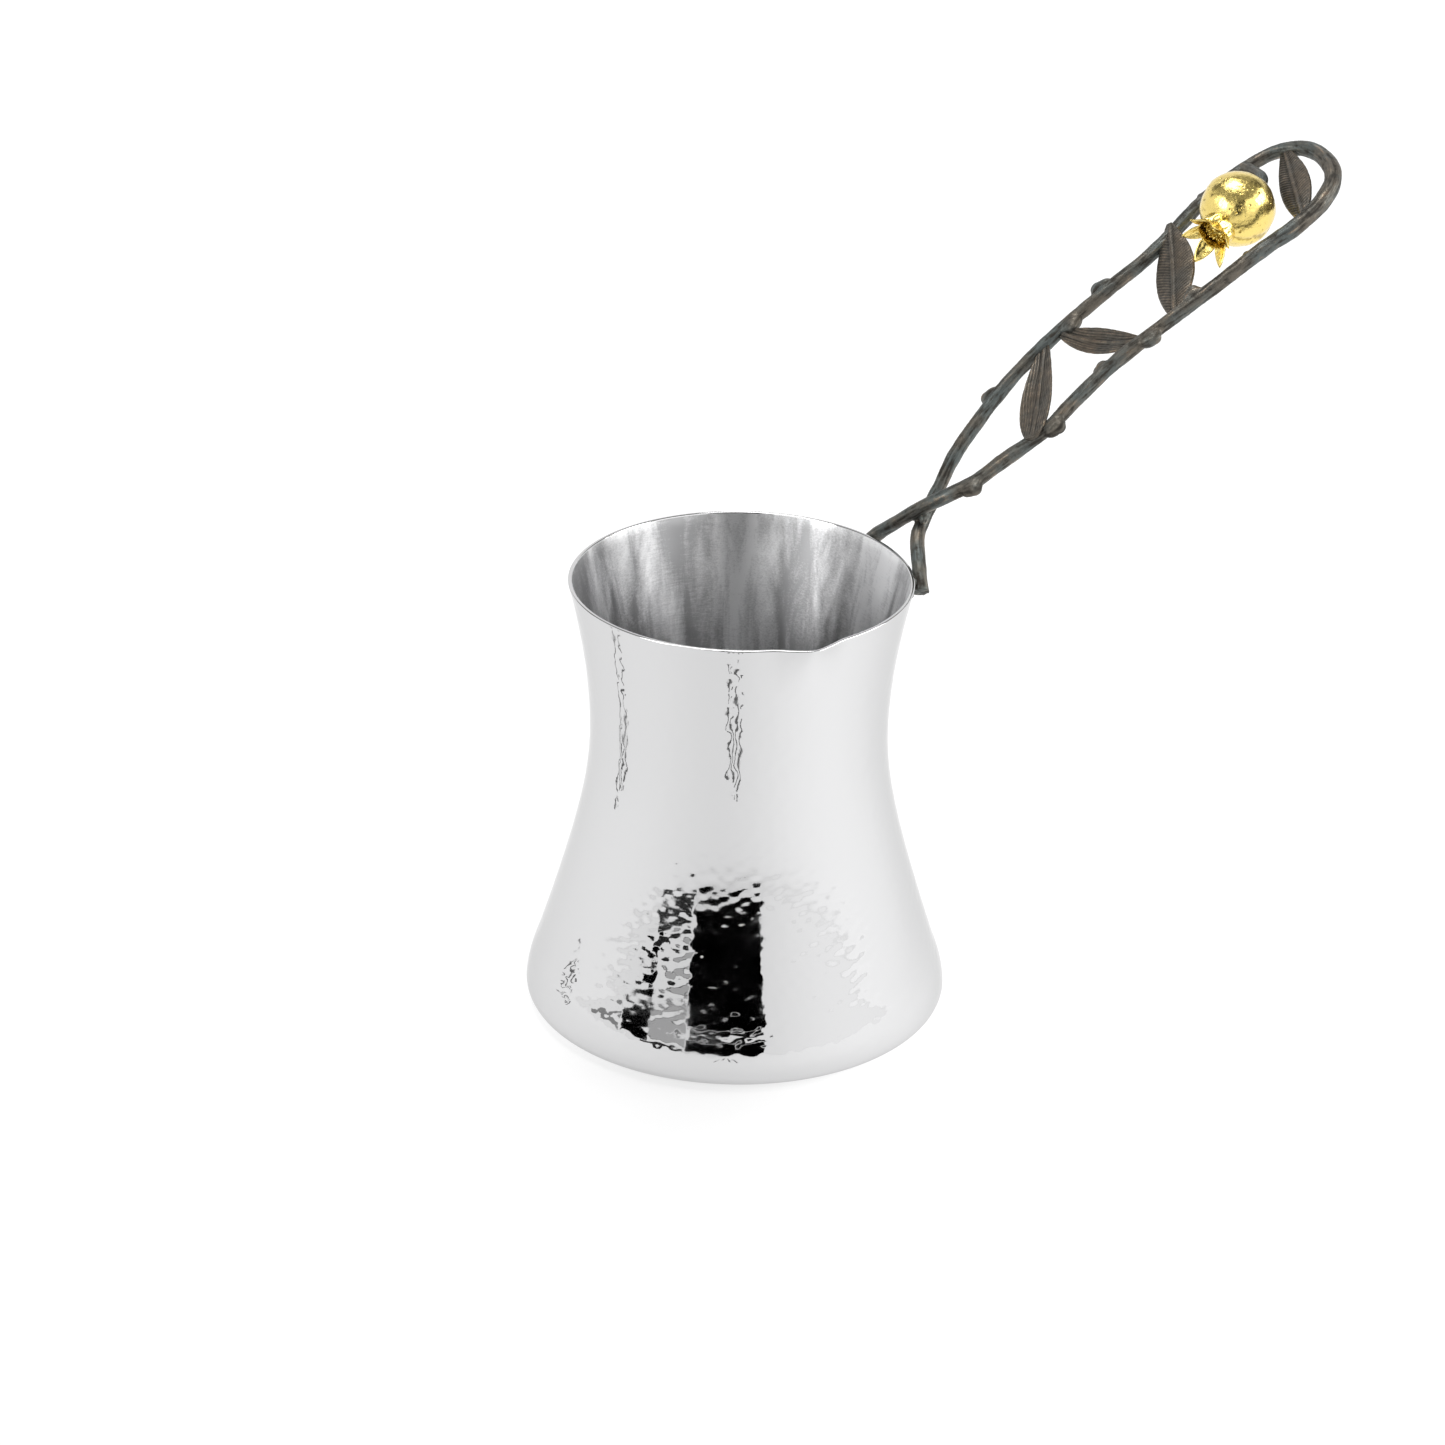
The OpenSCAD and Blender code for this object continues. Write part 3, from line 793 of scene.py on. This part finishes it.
# ---------- leaves ----------
def leaf(
    name, node, far, near, bulge, width, cup, metal, tip=1.0, along_grain=0.0, fat=0.9, laps=(0.0, 0.0)
):
    """A cast leaf between two places on the twig, with a midrib, fine veins and a rolled edge.

    tip moves its widest part towards the near end, along_grain above 0.5 runs the veins lengthwise,
    a small fat makes the ends rounder, and laps is how far the far and near ends lie over the twig.
    """
    a, b = twig_at(far), twig_at(near)
    way = unit(b - a)
    a, b = a - laps[0] * way, b + laps[1] * way
    bulge = np.array(bulge, float)
    length = float(np.linalg.norm(b - a))
    rows, columns, stem, thick, vein_gap = 150, 44, 1.5, 1.0, 0.95

    def line(u):
        lap = laps[0] * (1 - u) ** 3 + laps[1] * u**3
        return (1 - u) * a + u * b + 4 * u * (1 - u) * bulge + lap * twig_up

    points, relief = [], []
    for face in (1, -1):
        for i in range(rows + 1):
            u = i / rows
            along = unit(line(u + 0.01) - line(u - 0.01))
            side = unit(np.cross(twig_up, along))
            up = np.cross(along, side)
            half = stem / 2 + (width - stem) / 2 * math.sin(math.pi * u**tip) ** fat
            taper = min(1.0, u / 0.08, (1 - u) / 0.08)
            for j in range(columns + 1):
                v = math.sin(math.pi * (j / columns - 0.5))
                across = abs(v) * half
                rib = math.exp(-((across / 0.33) ** 2))
                groove = math.exp(-(((across - 0.65) / 0.28) ** 2))
                slant = (u * length + across * 0.9) / vein_gap
                lines = across / 0.62 + 0.4 * math.sin(u * 9)
                phase = slant if along_grain < 0.5 else lines
                vein = 0.5 + 0.5 * math.cos(2 * math.pi * phase)
                vein = vein**2 * min(1.0, across / 0.7) * min(1.0, max(0.0, (half - across) / 0.8))
                rim = math.exp(-(((half - across) / 0.4) ** 2)) * taper
                lift = taper * (0.22 * rib - 0.10 * groove + 0.09 * vein)
                body = thick / 2 * math.sqrt(max(0.0, 1 - v**8)) * (0.8 + 0.2 * (1 - abs(v)))
                h = body + (lift + 0.10 * rim) * (1 if face > 0 else 0.7) * (abs(v) < 0.985)
                bow = cup * v * v * math.sin(math.pi * u)
                points.append(line(u) + v * half * side + (bow + face * h) * up)
                high = 0.85 * rib - 0.45 * groove + 1.15 * vein - 0.40
                relief.append(taper * high + (0.9 * rim if face > 0 else 0.5 * rim))
    across_n = columns + 1
    layer = (rows + 1) * across_n
    top = grid_faces(rows + 1, across_n, wrap_columns=False)
    faces = [list(f) for f in top] + [list(f[::-1] + layer) for f in top]
    for i in range(rows):
        for k, flip in ((i * across_n, False), (i * across_n + columns, True)):
            edge = [k, k + across_n, k + across_n + layer, k + layer]
            faces.append(edge[::-1] if flip else edge)
    for j in range(columns):
        faces.append([j + 1, j, j + layer, j + 1 + layer])
        k = rows * across_n + j
        faces.append([k, k + 1, k + 1 + layer, k + layer])
    obj = mesh_object(name, points, faces, [metal])
    bm = bmesh.new()
    bm.from_mesh(obj.data)
    bmesh.ops.recalc_face_normals(bm, faces=bm.faces)
    bm.to_mesh(obj.data)
    bm.free()
    pts, normals = points_of(obj), normals_of(obj)
    rough = soft_noise(pts, 1.4, length, 3)
    move_points(obj, keep_in_box(pts + normals * (0.05 * rough)[:, None]))
    set_relief(obj, np.clip(np.array(relief) + 0.3 * rough, -1, 1))
    obj.data.polygons.foreach_set("use_smooth", np.full(len(obj.data.polygons), True))
    return stand_for(obj, "bronze", node)


# ---------- fruit ----------
fruit_d, neck_d, crown_d, sepals = 16.4, 7.6, 12.4, 6
fruit_r = fruit_d / 2
fruit_centre = np.array(on_handle(78.5, 3, 1))
fruit_yaw, fruit_tilt = math.radians(206.7), math.radians(109.3)
stem_r = 1.6
neck_seat = math.sqrt(fruit_r**2 - neck_d**2 / 4)
stem_seat = math.sqrt(fruit_r**2 - (stem_r + 0.2) ** 2)
fruit_turn = np.array(Matrix.Rotation(fruit_yaw, 3, "Z") @ Matrix.Rotation(fruit_tilt, 3, "Y"))
fruit_axis = fruit_turn @ np.array([0, 0, 1.0])


def at_fruit(points):
    """Points in the fruit's own frame, with its crown at +Z, put in place."""
    return np.asarray(points) @ fruit_turn.T + fruit_centre


def fruit_body(gold):
    """The round fruit: a shallow crease from stem to crown, and a flatter lobe beside it."""
    segments, rings = 160, 100
    points, faces = blob(np.zeros(3), np.eye(3), (1, 1, 1), segments, rings)
    turn = np.degrees(np.arctan2(points[:, 1], points[:, 0]))
    level = points[:, 2]
    belly = np.sqrt(np.maximum(0, 1 - level**2))
    crease_at = 60.0
    off = np.abs(np.mod(turn - crease_at + 180, 360) - 180)
    crease = np.exp(-((off / 9) ** 2)) * np.minimum(1, belly * 1.6)
    lobes = np.cos(np.radians(turn - crease_at) * 5) * belly**2
    neck = np.exp(-(((1 - level) / 0.05) ** 2))
    dip = np.exp(-(((1 + level) / 0.03) ** 2))
    low = soft_noise(points, 0.55, 4.0, 2)
    mid = soft_noise(points, 0.13, 8.0, 3)
    radius = fruit_r * (0.985 - 0.035 * crease + 0.008 * lobes - 0.012 * dip + 0.01 * neck)
    radius = radius + 0.10 * low + 0.05 * mid
    radius = np.minimum(radius, fruit_r * 1.01)
    # The crease lowers the relief, which paints shade into the gold along it.
    relief = np.clip(0.75 + 0.5 * mid - 0.5 * crease, 0, 1)
    obj = mesh_object("fruit_body_gilt", at_fruit(points * radius[:, None]), faces, [gold], relief=relief)
    return stand_for(obj, "gold", "fruit_body")


def fruit_crown(gold):
    """The calyx: a flared cup whose edge splits into pointed sepals, thick at the root."""
    crown_h, wall, sepal_len, sepal_lean = 2.6, 0.8, 4.4, math.radians(32)
    crown_r = crown_d / 2 - sepal_len * math.sin(sepal_lean)
    columns, rows = 26 * sepals, 34
    points, relief = [], []
    for layer in (0, 1):
        for i in range(rows + 1):
            t = i / rows
            for k in range(columns):
                a = 2 * math.pi * k / columns
                petal = (k % (columns / sepals)) / (columns / sepals)
                off = abs(petal - 0.5) * 2
                odd = 0.86 + 0.14 * math.cos(2.4 * (k // (columns // sepals)) + 1)
                reach = crown_h + sepal_len * odd * max(0.0, 1 - off**1.2) * math.cos(sepal_lean)
                h = -0.5 + (reach + 0.5) * t
                cup = neck_d / 2 + (crown_r - neck_d / 2) * min(1.0, max(0.0, h) / crown_h) ** 0.8
                out = max(0.0, h - crown_h) * math.tan(sepal_lean)
                rib = 0.28 * math.exp(-((off / 0.3) ** 2)) * min(1, max(0, h) / 1.5)
                skin = 0 if layer == 0 else -(wall * (1 - 0.65 * t) * (1 if t < 1 else 0))
                fold = -0.35 * off**2 * min(1.0, max(0.0, h) / crown_h)
                r = cup + out + fold + (rib if layer == 0 else 0.4 * rib) + skin
                points.append((r * math.cos(a), r * math.sin(a), neck_seat + h))
                # On the inner skin the relief falls towards the root, which paints shade deep inside the
                # cup.
                relief.append(0.45 + 0.5 * rib / 0.28 + 0.35 * t - (0.6 if layer else 0) * (1 - t))
    grid = grid_faces(rows + 1, columns)
    n = (rows + 1) * columns
    faces = [list(f) for f in grid] + [list(f[::-1] + n) for f in grid]
    for k in range(columns):
        nxt = (k + 1) % columns
        faces.append([nxt, k, n + k, n + nxt])
        top = rows * columns
        faces.append([top + k, top + nxt, n + top + nxt, n + top + k])
    obj = mesh_object("fruit_crown_gilt", at_fruit(points), faces, [gold])
    pts, normals = points_of(obj), normals_of(obj)
    rough = soft_noise(pts, 0.9, 6.0, 3)
    move_points(obj, pts + normals * (0.07 * rough)[:, None])
    set_relief(obj, np.clip(np.array(relief) + 0.35 * rough, 0, 1))
    return stand_for(obj, "gold", "fruit_crown")


def fruit_stamens(gold):
    """A tuft of short rounded stamens on a low dome inside the crown."""
    rng = np.random.default_rng(SEED)
    eye = np.eye(3)
    room = neck_d / 2 - 0.95
    shells = [blob(np.array([0, 0, neck_seat + 0.1]), eye, (room, room, 1.2), 20, 12)]
    for k in range(34):
        r = room * math.sqrt((k + 0.5) / 34)
        a = k * math.radians(137.5)
        base = np.array([r * math.cos(a), r * math.sin(a), neck_seat + 0.6])
        tall = rng.uniform(1.0, 1.9) * (1.1 - 0.35 * r / room)
        shells.append(blob(base, eye, (0.42, 0.42, tall), 12, 10))
    points, faces = gather(shells)
    obj = mesh_object("fruit_stamens_gilt", at_fruit(points), faces, [gold])
    melt(obj, 0.14, 2)
    rough_skin(obj, 0.5, 0.04, 3.0, 0.1)
    return stand_for(obj, "gold", "fruit_stamens")


def fruit_stem(metal):
    seat = fruit_centre - (stem_seat - 0.6) * fruit_axis
    root = twig_points[far_start + 3]
    elbow = fruit_centre - (stem_seat + 3) * fruit_axis + np.array([0, 1.5, 0])
    path = curve(np.array([seat, elbow, root]), 14)
    share = np.linspace(0, 1, len(path))
    radii = stem_r * (1.05 - 0.22 * np.sin(math.pi * share))
    points, faces = tube(path, radii, 20)
    obj = mesh_object("fruit_stem_bark", points, faces, [metal])
    melt(obj, 0.22, 3)
    bark(obj, path, 9.0, 0.1)
    return stand_for(obj, "bronze", "fruit_stem")


# ---------- stage ----------
def bearing(degrees):
    """Level direction at an angle round the pot from the camera's side, rightwards."""
    a = math.radians(degrees)
    return view_to_row(math.sin(a), -math.cos(a), 0)


def surround(n, direction):
    """Brightness of the white surroundings: most on the right, least towards the camera."""

    def towards(degrees, power):
        dot = n.add("ShaderNodeVectorMath", operation="DOT_PRODUCT")
        n.put(dot.inputs[0], direction)
        dot.inputs[1].default_value = bearing(degrees)
        return n.math("POWER", n.math("MAXIMUM", dot.outputs["Value"], 0.0), power)

    bright = n.math("MULTIPLY", towards(72, 2.0), 0.14)
    dim = n.math("MULTIPLY", towards(-12, 3.0), 0.12)
    return n.math("SUBTRACT", n.math("ADD", bright, 0.97), dim)


def floor():
    """A white floor that glows a little less than the surroundings, as the lamps light it too."""
    half = 3000
    points = [(-half, -half, 0), (half, -half, 0), (half, half, 0), (-half, half, 0)]
    n = Nodes(bpy.data.materials.new("floor_white"))
    where = n.add("ShaderNodeTexCoord").outputs["Object"]
    level = n.add("ShaderNodeVectorMath", {"Vector": where}, operation="NORMALIZE")
    n.set(Base_Color=(0.3, 0.3, 0.3, 1), Roughness=1.0, Emission_Color=(1, 1, 1, 1))
    n.set(Emission_Strength=n.math("SUBTRACT", surround(n, level), 0.20))
    n.shader.inputs["Specular IOR Level"].default_value = 0
    obj = mesh_object("floor", points, [[0, 1, 2, 3]], [n.owner])
    obj.location.z = -0.0002


def plain(name, shade):
    """A material of one even brightness that nothing lights."""
    n = Nodes(bpy.data.materials.new(name))
    n.set(Base_Color=(0, 0, 0, 1), Emission_Color=(shade, shade, shade, 1), Emission_Strength=1.0)
    n.shader.inputs["Specular IOR Level"].default_value = 0
    return n.owner


def only_reflected(obj):
    """Leaves an object out of everything but reflections."""
    obj.visible_camera = False
    obj.visible_diffuse = False
    obj.visible_shadow = False


def card(name, middle, spread, low, high, shade, distance=1.6, level=0.028):
    """A card round the pot that only reflections show, with its angles in degrees.

    middle and spread are bearings from the camera's side, low and high angles seen from level.
    """
    steps = 12
    points = []
    for k in range(steps + 1):
        way = bearing(middle - spread / 2 + spread * k / steps) * distance
        for e in (low, high):
            up = Vector((0, 0, level + distance * math.tan(math.radians(e))))
            points.append(np.array(way + up) / MM)
    faces = [[2 * k, 2 * k + 1, 2 * k + 3, 2 * k + 2] for k in range(steps)]
    only_reflected(mesh_object(name, points, faces, [plain(name, shade)]))


def lamp(name, place, size, power):
    data = bpy.data.lights.new(name, "AREA")
    data.shape = "RECTANGLE"
    data.size, data.size_y = size
    data.energy = power
    obj = bpy.data.objects.new(name, data)
    bpy.context.scene.collection.objects.link(obj)
    obj.location = view_to_row(*place)
    way = Vector((0, 0, 0.1)) - obj.location
    obj.rotation_mode = "QUATERNION"
    obj.rotation_quaternion = way.to_track_quat("-Z", "Y")


def sky():
    """White at the horizon and grey overhead."""
    world = bpy.data.worlds.new("studio")
    bpy.context.scene.world = world
    n = Nodes(world)
    back = n.tree.nodes["Background"]
    back.inputs["Color"].default_value = (1, 1, 1, 1)
    direction = n.add("ShaderNodeTexCoord").outputs["Generated"]
    height = n.add("ShaderNodeSeparateXYZ", {"Vector": direction}).outputs["Z"]
    dim = n.ramp(height, 0.44, 0.72, 1.09, 0.28)
    n.put(back.inputs["Strength"], n.math("MULTIPLY", surround(n, direction), dim))


def floor_strip(name, turn, near, far, across, shade):
    """A strip that lies on the floor, seen only in the pot's sides.

    It points at the pot at a bearing of turn; near, far and across are in millimetres.
    """
    way, side = np.array(bearing(turn)), np.array(bearing(turn + 90))
    points = [way * d + side * a for d, a in ((near, -1), (near, 1), (far, 1), (far, -1))]
    points = np.array(points) + side * across
    only_reflected(mesh_object(name, points, [[0, 1, 2, 3]], [plain(name, shade)]))


def build_stage():
    """The white studio. The cards and strips are the dark and bright shapes that the metal mirrors."""
    bpy.context.scene.view_settings.view_transform = "Standard"
    floor()
    sky()
    lamp("overhead", (-0.12, 0.25, 1.35), (0.65, 0.65), 9)
    lamp("right", (1.2, 0.0, 0.72), (0.8, 0.5), 7)
    lamp("left", (-1.05, -0.62, 0.8), (0.45, 0.6), 5)
    card("front", -4.5, 41, 0.2, 7.35, 0.0)
    card("front_top", -3, 40, 7.65, 9.4, 0.0)
    card("left_low", -38, 22, -0.9, 1.3, 0.02)
    card("left_edge", -54, 16, 1.8, 6.2, 0.0)
    card("left_grey", -36, 20, 4.4, 8.6, 0.5)
    card("left_line", -36, 21, 3.9, 4.3, 0.0)
    card("left_top", -44, 32, 9.0, 9.6, 0.05)
    card("left_far", -76, 26, 1.4, 3.4, 0.3)
    card("camera_side", 4, 34, 11, 48, 0.0)
    card("right_light", 46, 42, 12.5, 46, 1.7)
    card("left_light", -40, 34, 12.5, 46, 1.7)
    card("behind_right", 132, 36, 22, 55, 0.12)
    card("behind_left", 228, 36, 22, 55, 0.12)
    for k, across in enumerate((-10, -4, 3, 9)):
        floor_strip(f"strip_front_{k}", -2.6, 113 + 6 * (k % 2), 150 + 5 * k, across, 0.12)
        floor_strip(f"strip_left_{k}", -91.5, 129 + 9 * (k % 2), 192 - 6 * k, across, 0.12)


# ---------- build ----------
def build():
    polished, brushed, gold = polished_steel(), brushed_steel(), gilt()
    bronze = dark_bronze("bark_bronze", (0.124, 0.110, 0.090), (0.106, 0.120, 0.116))
    leaf_bronze = dark_bronze("leaf_bronze", (0.106, 0.088, 0.068), (0.094, 0.088, 0.076))
    pot_wall(polished, brushed)
    pot_base(polished, brushed)
    handle_twig(bronze)
    foot_braze("braze_near_fillet", "braze_near", foot_angle - 1, bronze)
    foot_braze("braze_far_fillet", "braze_far", 1 - foot_angle, bronze)
    crossing_braze(bronze)
    far, near = far_start, near_start
    straight = (0, 0, 0)
    round_end = {"tip": 1.6, "along_grain": 1.0, "fat": 0.5, "laps": (0.0, 1.5)}
    leaf("leaf_1_veined", "leaf_1", far + 9.8, near + 4.75, straight, 8.0, 1.2, leaf_bronze, **round_end)
    leaf("leaf_2_veined", "leaf_2", far + 9.4, near + 7.75, (0, 0, -1.6), 6.5, 0.8, leaf_bronze, 1.0, 1.0)
    leaf("leaf_3_veined", "leaf_3", far + 6, near + 8.6, straight, 9.8, -0.8, leaf_bronze, laps=(1.4, 0.0))
    leaf("leaf_4_veined", "leaf_4", far + 1.6, near + 12.3, straight, 7.5, -0.6, leaf_bronze)
    fruit_stem(bronze)
    fruit_body(gold)
    fruit_crown(gold)
    fruit_stamens(gold)
    build_stage()


build()
